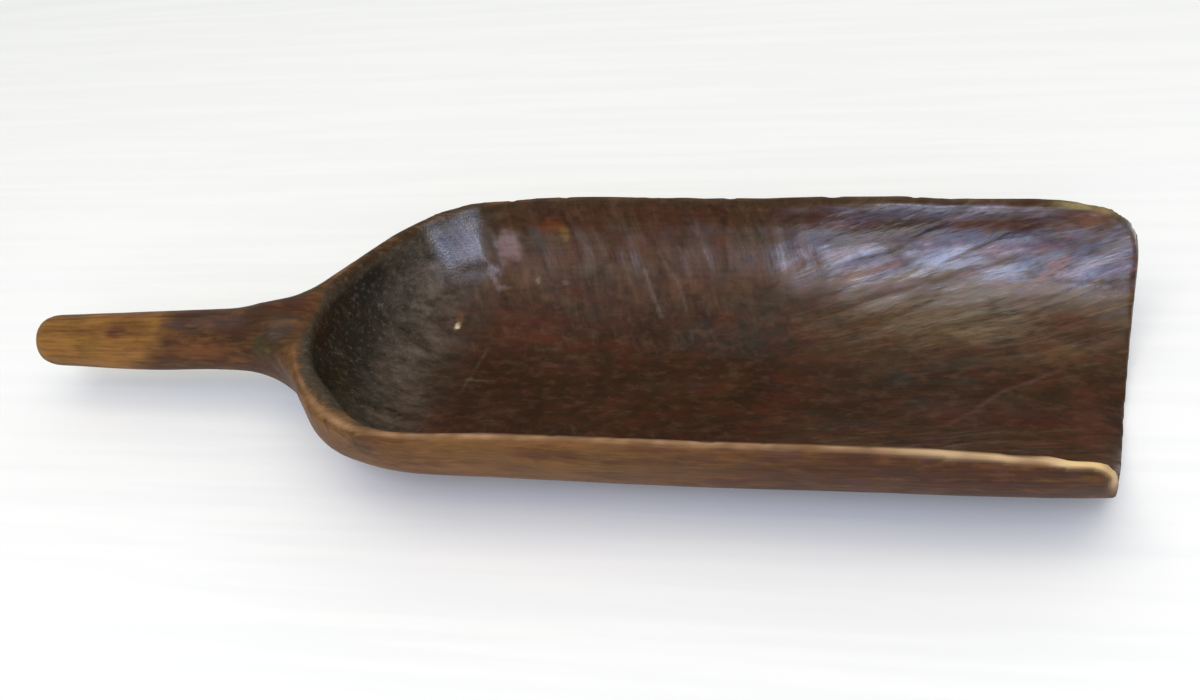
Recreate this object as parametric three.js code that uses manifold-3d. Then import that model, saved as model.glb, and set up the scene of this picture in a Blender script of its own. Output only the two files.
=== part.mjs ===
// A flour scoop carved from one block of wood. A half-round trough, open above and at the mouth,
// is closed at the back by a rounded end, which flares into a straight round handle.
// Millimetres. +X runs towards the mouth, +Y across and +Z up, and the scoop lies on the flat
// that is worn into its underside. The origin is on the table, under the middle of the scoop.

import * as THREE from 'three';
import { mergeVertices } from 'three/addons/utils/BufferGeometryUtils.js';
import Module from 'manifold-3d';

// Lengths. Places along the scoop are measured from the back of the hollow.
const handleLength = 138; // handle's tip to the back of the hollow
const neckLength = 40; // where the handle starts to flare, to the back of the hollow
const neckUndersideLength = 47; // where its underside starts to drop, to the back of the hollow
const shoulderLength = 72; // back of the hollow to where the sides run straight
const heelLength = 63; // back of the hollow to where the underside is level
const crownPlace = 100; // back of the hollow to where the rim is highest
const taperStart = 250; // back of the hollow to where the sides start to draw in
const hollowLength = 329; // back of the hollow to the middle of the mouth
const hollowEndLength = 62; // the rounded end of the hollow, along the scoop
const tipRounding = 7; // the rounded end of the handle, along the scoop

// Widths, across the outside.
const tipWidth = 22.5;
const gripWidth = 27;
const bowlWidth = 156;
const mouthWidth = 150.5;

// Heights above the table.
const tipTop = 44.3;
const gripTop = 48.9;
const gripUnderside = 21.9;
const backRimHeight = 51;
const rimHeight = 54.6;
const mouthRimHeight = 51.6;
const nearMouthRimHeight = 49.3; // of the -Y rim, where its mouth corner starts

// How far each outline runs on in its own direction before it turns: more is a slower bend.
const flareEase = 56;
const shoulderEase = 76;
const neckTopEase = 11;
const backRimEase = 28;
const neckUndersideEase = 37;
const heelEase = 86;

// The handle's round section turns into the bowl's between these places.
const blendBehind = 52; // behind the back of the hollow
const blendAhead = 45; // ahead of it

// Walls.
const backRimThickness = 6.6;
const rimThickness = 6.1;
const floorThickness = 9;
const lipThickness = 4; // floor at the mouth
const rimChamfer = 1.4; // worn inner edge of the rim, along the sides
const backBevelWidth = 6; // the same edge round the back, where it is broad and shallow
const backBevelDepth = 2.6;
const bevelLength = 66; // back of the hollow to where that edge has narrowed
const rimRounding = 2.3; // worn outer edge of the rim
const restFlat = 1.2; // depth worn off the round underside

// The mouth.
const farCornerRadius = 25; // rounded top corner of the +Y wall, seen from the side
const nearCornerRadius = 13; // the same corner of the -Y wall, which is tighter
const nearSlopeLength = 83; // along the -Y rim, which slopes down to its corner, worn by pouring
const mouthSkew = 10; // how far the +Y corner stands ahead of the middle, and the other behind

// How square the round outlines are: 2 is an ellipse, more is squarer and less is more pointed.
const bowlSquareness = 2.05;
const rimSquareness = 8;
const hollowEndSquareness = 1.7;
const tipSquareness = 2.4;

// How finely the surfaces are divided.
const lowerSteps = 14; // from the side of a section down to its lowest place
const upperSteps = 9; // from the side of a section up to its highest place
const curveDivisions = 60;

const cutterMargin = 25; // how far a cutting shape reaches past what it cuts
const wood = { color: 0x5a3a24, roughness: 0.5, metalness: 0 };

const { clamp, lerp, smoothstep } = THREE.MathUtils;

// Reads a drawn outline as a height over a place along the scoop.
function outline( path ) {

	const points = path.getPoints( curveDivisions );

	return function ( x ) {

		let i = 1;
		while ( i < points.length - 1 && points[ i ].x < x ) i ++;
		const a = points[ i - 1 ];
		const b = points[ i ];
		return lerp( a.y, b.y, clamp( ( x - a.x ) / ( b.x - a.x ), 0, 1 ) );

	};

}

// Half the outside width: handle, flare, shoulder, straight side and the draw-in at the mouth.
const halfWidth = outline( new THREE.Path()
	.moveTo( - handleLength, tipWidth / 2 )
	.lineTo( - neckLength, gripWidth / 2 )
	.bezierCurveTo(
		flareEase - neckLength, gripWidth / 2,
		shoulderLength - shoulderEase, bowlWidth / 2,
		shoulderLength, bowlWidth / 2,
	)
	.lineTo( taperStart, bowlWidth / 2 )
	.quadraticCurveTo( ( taperStart + hollowLength ) / 2, bowlWidth / 2, hollowLength, mouthWidth / 2 ) );

// The top of the handle and the neck, and the rim.
const topHeight = outline( new THREE.Path()
	.moveTo( - handleLength, tipTop )
	.lineTo( - neckLength, gripTop )
	.bezierCurveTo(
		neckTopEase - neckLength, gripTop,
		- backRimThickness - backRimEase, backRimHeight,
		- backRimThickness, backRimHeight,
	)
	.bezierCurveTo( crownPlace / 3, backRimHeight, crownPlace / 2, rimHeight, crownPlace, rimHeight )
	.quadraticCurveTo( ( crownPlace + hollowLength ) / 2, rimHeight, hollowLength, mouthRimHeight ) );

// The underside, with the round bowl's lowest line a little below the table, where it is cut flat.
const bottomHeight = outline( new THREE.Path()
	.moveTo( - handleLength, gripUnderside )
	.lineTo( - neckUndersideLength, gripUnderside )
	.bezierCurveTo(
		neckUndersideEase - neckUndersideLength, gripUnderside,
		heelLength - heelEase, - restFlat,
		heelLength, - restFlat,
	)
	.lineTo( hollowLength, - restFlat ) );

// The floor of the hollow, which thins towards the lip.
const floorHeight = outline( new THREE.Path()
	.moveTo( hollowEndLength, floorThickness )
	.lineTo( taperStart, floorThickness )
	.quadraticCurveTo( ( taperStart + hollowLength ) / 2, floorThickness, hollowLength, lipThickness ) );

// One quarter of a round or squarish section, as [across, up] shares of its two half-axes.
function quarter( angle, squareness ) {

	return [ Math.cos( angle ) ** ( 2 / squareness ), Math.sin( angle ) ** ( 2 / squareness ) ];

}

// Half the width that is left at a share of the depth, on a round or squarish section.
function widthAtDepth( depth, squareness ) {

	return ( 1 - depth ** squareness ) ** ( 1 / squareness );

}

// The outside at one place along the scoop: round on the handle, and half-round on the bowl.
function outsideRing( x, scale = 1 ) {

	const bowl = smoothstep( x, - blendBehind, blendAhead ); // 0 on the handle, 1 on the bowl
	const top = topHeight( x );
	const bottom = bottomHeight( x );
	const widest = lerp( ( top + bottom ) / 2, top - rimRounding, bowl );
	const half = halfWidth( x );
	const squareBelow = lerp( 2, bowlSquareness, bowl );
	const squareAbove = lerp( 2, rimSquareness, bowl * bowl );
	const middle = ( top + bottom ) / 2;
	const ring = [];

	function add( side, angle, height, squareness ) {

		const [ across, up ] = quarter( angle, squareness );
		const z = middle + ( widest + height * up - middle ) * scale;
		ring.push( new THREE.Vector3( x, side * half * across * scale, Math.max( z, 0 ) ) );

	}

	// Once round, from the -Y side down to the lowest line, up to the +Y side and over the top.
	for ( let i = 0; i < lowerSteps; i ++ )
		add( - 1, Math.PI / 2 * i / lowerSteps, bottom - widest, squareBelow );
	for ( let i = lowerSteps; i > 0; i -- )
		add( 1, Math.PI / 2 * i / lowerSteps, bottom - widest, squareBelow );
	for ( let i = 0; i < upperSteps; i ++ )
		add( 1, Math.PI / 2 * i / upperSteps, top - widest, squareAbove );
	for ( let i = upperSteps; i > 0; i -- )
		add( - 1, Math.PI / 2 * i / upperSteps, top - widest, squareAbove );

	return ring;

}

// Even places from start to end, without the end itself.
function places( start, end, count ) {

	return Array.from( { length: count }, ( _, i ) => lerp( start, end, i / count ) );

}

// The whole outside, from the handle's tip to past the mouth.
function outside() {

	const rings = [];
	const tipSteps = 6;
	for ( let i = 0; i <= tipSteps; i ++ ) {

		const angle = Math.PI / 2 * i / tipSteps;
		const [ back, scale ] = quarter( angle, tipSquareness );
		rings.push( outsideRing( - handleLength + tipRounding * ( 1 - back ), scale ) );

	}

	const neckStart = - Math.max( neckLength, neckUndersideLength );
	const along = [
		...places( - handleLength + 2 * tipRounding, neckStart, 5 ),
		...places( neckStart, shoulderLength, 30 ),
		...places( shoulderLength, hollowLength, 15 ),
		hollowLength,
		hollowLength + cutterMargin,
	];
	along.forEach( x => rings.push( outsideRing( x ) ) );
	return loft( rings );

}

// The hollow's outline seen from above, at a share of its depth. The edge says how far it has
// gone out over the worn inner edge of the rim, and down from the rim, in shares of that edge.
function hollowRing( depth, edge = { out: 0, down: 0 }, margin = 0 ) {

	const left = widthAtDepth( depth, bowlSquareness );
	const endHalf = halfWidth( hollowEndLength ) - rimThickness;
	const sideSteps = 13;
	const endSteps = 32;
	const ring = [];

	function add( x, y, outX, outY ) {

		const narrowed = smoothstep( x, 0, bevelLength );
		const out = edge.out * lerp( backBevelWidth, rimChamfer, narrowed ) + margin;
		const down = edge.down * lerp( backBevelDepth, rimChamfer, narrowed );
		const rim = topHeight( Math.max( x + out * outX, - backRimThickness ) );
		const z = rim - depth * ( rim - floorHeight( x ) ) - down + margin;
		ring.push( new THREE.Vector3( x + out * outX, y + out * outY, z ) );

	}

	function sideHalf( x ) {

		return ( halfWidth( x ) - rimThickness ) * left;

	}

	// Along one side to the rounded end, round it, and back along the other side.
	const along = [ hollowLength + cutterMargin, ...places( hollowLength, hollowEndLength, sideSteps ) ];
	along.forEach( x => add( x, sideHalf( x ), 0, 1 ) );
	for ( let i = 0; i <= endSteps; i ++ ) {

		const angle = Math.PI * i / endSteps;
		const side = Math.sign( Math.PI / 2 - angle );
		const [ across, back ] = quarter( Math.min( angle, Math.PI - angle ), hollowEndSquareness );
		add(
			hollowEndLength - hollowEndLength * left * back,
			side * endHalf * left * across,
			- Math.sin( angle ),
			Math.cos( angle ),
		);

	}

	along.reverse().forEach( x => add( x, - sideHalf( x ), 0, - 1 ) );
	return ring;

}

// What is carved out: a half-round trough with a rounded end, reaching up past the rim.
// The first ring, at the full depth, has drawn together into the floor's middle line.
function hollow() {

	const rings = [];
	const depthSteps = 14;
	for ( let i = depthSteps; i > 0; i -- )
		rings.push( hollowRing( Math.sin( Math.PI / 2 * i / depthSteps ) ) );
	rings.push( hollowRing( 0, { out: 0, down: 1 } ) );
	rings.push( hollowRing( 0, { out: 1, down: 0 } ) );
	rings.push( hollowRing( 0, { out: 1, down: 0 }, cutterMargin ) );
	return loft( rings );

}

// What is cut away past the mouth on one side and across the middle, with a rounded corner left on
// the side wall. The cut starts at the height of the slope, which runs down to the corner.
function mouthCut( side, top, radius, slope = { length: 0, height: 0 } ) {

	const depth = bowlWidth / 2 + 2 * cutterMargin;
	const across = side > 0 ? bowlWidth / 2 + cutterMargin : cutterMargin; // the +Y edge of the cut
	const start = - radius - slope.length;
	const shape = new THREE.Shape()
		.moveTo( start, top + slope.height + cutterMargin )
		.lineTo( start, top + slope.height )
		.lineTo( - radius, top )
		.absarc( - radius, top - radius, radius, Math.PI / 2, 0, true )
		.lineTo( 0, - cutterMargin )
		.lineTo( 2 * cutterMargin, - cutterMargin )
		.lineTo( 2 * cutterMargin, top + slope.height + cutterMargin );
	const cut = new THREE.ExtrudeGeometry( shape, { depth, bevelEnabled: false, curveSegments: 10 } );
	cut.rotateX( Math.PI / 2 ).translate( 0, across, 0 );
	cut.rotateZ( - Math.atan( mouthSkew / ( mouthWidth / 2 ) ) ).translate( hollowLength, 0, 0 );
	return cut;

}

// Joins rings of equally many points into one closed surface. The first ring has drawn together
// into a point or a line, and the last is closed by a fan.
function loft( rings ) {

	const count = rings[ 0 ].length;
	const points = rings.flat();
	const faces = [];
	for ( let r = 0; r < rings.length - 1; r ++ )
		for ( let i = 0; i < count; i ++ ) {

			const a = r * count + i;
			const b = r * count + ( i + 1 ) % count;
			faces.push( a, b, b + count, a, b + count, a + count );

		}

	const last = ( rings.length - 1 ) * count;
	const centre = new THREE.Vector3();
	rings.at( - 1 ).forEach( p => centre.addScaledVector( p, 1 / count ) );
	const middle = points.push( centre ) - 1;
	for ( let i = 0; i < count; i ++ )
		faces.push( middle, last + i, last + ( i + 1 ) % count );

	return new THREE.BufferGeometry().setFromPoints( points ).setIndex( faces );

}

const wasm = await Module();
wasm.setup();

function solid( geometry ) {

	const bare = new THREE.BufferGeometry()
		.setAttribute( 'position', geometry.getAttribute( 'position' ) )
		.setIndex( geometry.getIndex() );
	const merged = mergeVertices( bare );
	const corners = merged.index.array;
	const kept = [];
	for ( let i = 0; i < corners.length; i += 3 ) {

		const face = corners.slice( i, i + 3 );
		if ( new Set( face ).size === 3 ) kept.push( ...face ); // the rest have shrunk to a line

	}

	return new wasm.Manifold( new wasm.Mesh( {
		numProp: 3,
		vertProperties: merged.attributes.position.array,
		triVerts: new Uint32Array( kept ),
	} ) );

}

function geometryOf( made ) {

	const mesh = made.getMesh();
	const geometry = new THREE.BufferGeometry()
		.setAttribute( 'position', new THREE.BufferAttribute( mesh.vertProperties, 3 ) )
		.setIndex( new THREE.BufferAttribute( mesh.triVerts, 1 ) );
	geometry.computeVertexNormals();
	return geometry;

}

// A corner's arc starts this far above the rim, so that it meets the rim at a slope.
const crossing = 0.8;
const farCut = mouthCut( 1, mouthRimHeight + crossing, farCornerRadius );
const nearRise = rimHeight + crossing - nearMouthRimHeight;
const nearCut = mouthCut( - 1, nearMouthRimHeight, nearCornerRadius, { length: nearSlopeLength, height: nearRise } );
const carved = solid( outside() ).subtract( solid( hollow() ) )
	.subtract( solid( farCut ) )
	.subtract( solid( nearCut ) );

const scoop = new THREE.Mesh( geometryOf( carved ), new THREE.MeshStandardMaterial( wood ) );
scoop.name = 'scoop';
scoop.geometry.computeBoundingBox();
scoop.position.x = - scoop.geometry.boundingBox.getCenter( new THREE.Vector3() ).x;

const part = new THREE.Group();
part.add( scoop );

export default part;
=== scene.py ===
from math import cos, radians, sin
from types import SimpleNamespace

import bmesh
import bpy
import numpy as np
from mathutils import Matrix, Vector, noise


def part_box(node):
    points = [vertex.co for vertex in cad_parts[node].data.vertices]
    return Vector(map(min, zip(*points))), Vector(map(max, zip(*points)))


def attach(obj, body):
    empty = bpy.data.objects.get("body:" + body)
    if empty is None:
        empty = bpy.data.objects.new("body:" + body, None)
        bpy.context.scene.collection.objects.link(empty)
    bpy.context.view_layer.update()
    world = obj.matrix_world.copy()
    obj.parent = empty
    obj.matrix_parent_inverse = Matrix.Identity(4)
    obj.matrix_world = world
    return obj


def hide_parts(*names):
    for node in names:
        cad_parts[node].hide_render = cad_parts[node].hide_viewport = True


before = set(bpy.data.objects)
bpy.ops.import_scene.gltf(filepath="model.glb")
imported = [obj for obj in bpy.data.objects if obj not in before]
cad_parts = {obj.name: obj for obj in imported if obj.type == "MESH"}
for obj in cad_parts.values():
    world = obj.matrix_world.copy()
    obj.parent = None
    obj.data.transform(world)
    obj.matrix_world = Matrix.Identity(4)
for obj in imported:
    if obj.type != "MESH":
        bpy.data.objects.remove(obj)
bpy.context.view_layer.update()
scene = bpy.context.scene
mm = 0.001
tiny = 1e-6  # what counts as nothing


def linear(hexColour):  # sRGB hex to the linear colour that Blender works in
    parts = [int(hexColour[i:i + 2], 16) / 255 for i in (1, 3, 5)]
    return [p / 12.92 if p <= 0.04045 else ((p + 0.055) / 1.055) ** 2.4 for p in parts] + [1.0]


def addObject(name, data):
    thing = bpy.data.objects.new(name, data)
    scene.collection.objects.link(thing)
    return thing


# Camera, at the photo's viewing angle

photoView = {
    "elevation": 39.58,  # degrees above the table
    "azimuth": 17.57,  # degrees round from the near side towards the mouth
    "roll": -10.6,
    "distance": 0.6255,
    "aim": (0.01044, 0.03674, 0.0),
    "focalLength": 1394.0,  # in pixels of a picture this wide
    "pictureWidth": 1200,
    "sensorWidth": 36,  # millimetres
    "clipStart": 0.01,
}


def addCamera(view):
    up, azimuth, roll = (radians(view[k]) for k in ("elevation", "azimuth", "roll"))
    back = Vector((sin(azimuth) * cos(up), -cos(azimuth) * cos(up), sin(up)))
    right = Vector((0, 0, 1)).cross(back).normalized()
    over = back.cross(right)
    turnedRight = right * cos(roll) + over * sin(roll)
    turnedOver = over * cos(roll) - right * sin(roll)
    place = Vector(view["aim"]) + back * view["distance"]
    data = bpy.data.cameras.new("photoCamera")
    data.sensor_width = view["sensorWidth"]
    data.lens = view["sensorWidth"] * view["focalLength"] / view["pictureWidth"]
    data.clip_start = view["clipStart"]
    scene.camera = addObject("photoCamera", data)
    turn = Matrix((turnedRight, turnedOver, back)).transposed().to_4x4()
    scene.camera.matrix_world = Matrix.Translation(place) @ turn
    print("camera: set")


# Tools for shaping a fine surface. Lengths are in millimetres from here on.


def ramp(value, low, high):  # 0 below low, 1 above high, eased between
    t = np.clip((value - low) / (high - low), 0, 1)
    return t * t * (3 - 2 * t)


def fineCopy(node, name, cell):  # an even fine grid over a CAD solid
    shape = bmesh.new()
    shape.from_mesh(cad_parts[node].data)
    bmesh.ops.remove_doubles(shape, verts=shape.verts, dist=tiny)
    mesh = bpy.data.meshes.new("roughedOut")
    shape.to_mesh(mesh)
    shape.free()
    piece = addObject(name, mesh)
    grid = piece.modifiers.new("grid", "REMESH")
    grid.mode = "VOXEL"
    grid.voxel_size = cell * mm
    state = bpy.context.evaluated_depsgraph_get()
    piece.data = bpy.data.meshes.new_from_object(piece.evaluated_get(state))
    piece.data.name = name
    piece.modifiers.clear()
    piece.data.materials.clear()
    piece.data.shade_smooth()
    return piece


def readAll(items, field, width, kind=float):  # one row of numbers for each item
    values = np.empty(len(items) * width, kind)
    items.foreach_get(field, values)
    return values.reshape(-1, width)


def writePoints(mesh, points):
    mesh.vertices.foreach_set("co", (points * mm).ravel())
    mesh.update()


def neighbourMean(values, links):
    size = len(values)
    count = np.bincount(links.ravel(), minlength=size)
    total = np.zeros_like(values)
    for here, there in ((0, 1), (1, 0)):
        for axis in range(values.shape[1]):
            linked = values[links[:, there], axis]
            total[:, axis] += np.bincount(links[:, here], linked, minlength=size)
    return np.where(count[:, None] > 0, total / np.maximum(count, 1)[:, None], values)


def linksAlong(points, links, straightness):  # only links that run lengthwise
    step = points[links[:, 1]] - points[links[:, 0]]
    return links[np.abs(step[:, 0]) > straightness * np.linalg.norm(step, axis=1)]


def relax(points, links, rounds, share):  # each round moves a point half the way to its neighbours' mean
    for _ in range(rounds):
        points = points + 0.5 * share[:, None] * (neighbourMean(points, links) - points)
    return points


def easeFlats(points, links, rounds, share):  # smooths, then gives back the size that smoothing takes
    eased = relax(points, links, rounds, share)
    return eased + relax(points - eased, links, rounds, share)


def blur(value, links, rounds):
    return relax(value[:, None], links, rounds, np.ones(len(value)))[:, 0]


def noiseAt(points, size, seed):  # smooth noise, about -1 to 1, with lumps of the given size
    shift = Vector((seed * 7.3, seed * 3.1, seed * 5.7))
    scaled = points / np.array(size)
    return np.array([noise.noise(Vector(p) + shift) for p in scaled])


def scatter(column, row, seed, kind):  # a repeatable random number from 0 to 1 for each cell
    value = np.sin(column * 127.1 + row * 311.7 + seed * 74.7 + kind * 53.3) * 43758.5453
    return value - np.floor(value)


def cuts(across, down, width, length, seed):
    # Overlapping tool cuts, one to a cell of a loose grid: how far a point is from its cut's middle,
    # how near a ridge between two, a random number for the cut and the place in it.
    slack = (0.7, 0.8)  # share of a cell, across and along, over which the middles are scattered
    ridgeWidth = 0.22
    u, v = across / width, down / length
    column, row = np.floor(u), np.floor(v)
    nearest = np.full(len(u), np.inf)
    second = np.full(len(u), np.inf)
    pick, du, dv = np.zeros(len(u)), np.zeros(len(u)), np.zeros(len(u))
    for i in (-1, 0, 1):
        for j in (-1, 0, 1):
            c, r = column + i, row + j
            offU = u - (c + 0.5 + slack[0] * (scatter(c, r, seed, 1) - 0.5))
            offV = v - (r + 0.5 + slack[1] * (scatter(c, r, seed, 2) - 0.5))
            apart = offU ** 2 + offV ** 2
            closer = apart < nearest
            second = np.where(closer, nearest, np.minimum(second, apart))
            nearest = np.where(closer, apart, nearest)
            pick = np.where(closer, scatter(c, r, seed, 3), pick)
            du, dv = np.where(closer, offU, du), np.where(closer, offV, dv)
    ridge = 1 - ramp(np.sqrt(second) - np.sqrt(nearest), 0.0, ridgeWidth)
    return nearest, ridge, pick, du, dv


def leaning(across, down, degrees):  # two lengths, measured across and along slanting cuts
    a = radians(degrees)
    return across * cos(a) - down * sin(a), down * cos(a) + across * sin(a)


def highest(places, heights, step, low, high):  # a smooth line through the highest points
    middles = np.arange(low, high, step)
    tops = np.array([heights[np.abs(places - m) < step].max() for m in middles])
    for _ in range(2):
        tops = np.convolve(np.pad(tops, 1, "edge"), (0.25, 0.5, 0.25), "valid")
    return middles, tops


def howFar(places, middle, halves):  # from the middle of an oval patch, in its half lengths
    return np.linalg.norm((places - np.array(middle)) / np.array(halves), axis=1)


# The scoop: one block of wood, hollowed with gouge and scraper, its outside drawn smooth. Places are
# along the scoop from the back of the hollow, across it to the far side, and up from the table.

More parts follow.
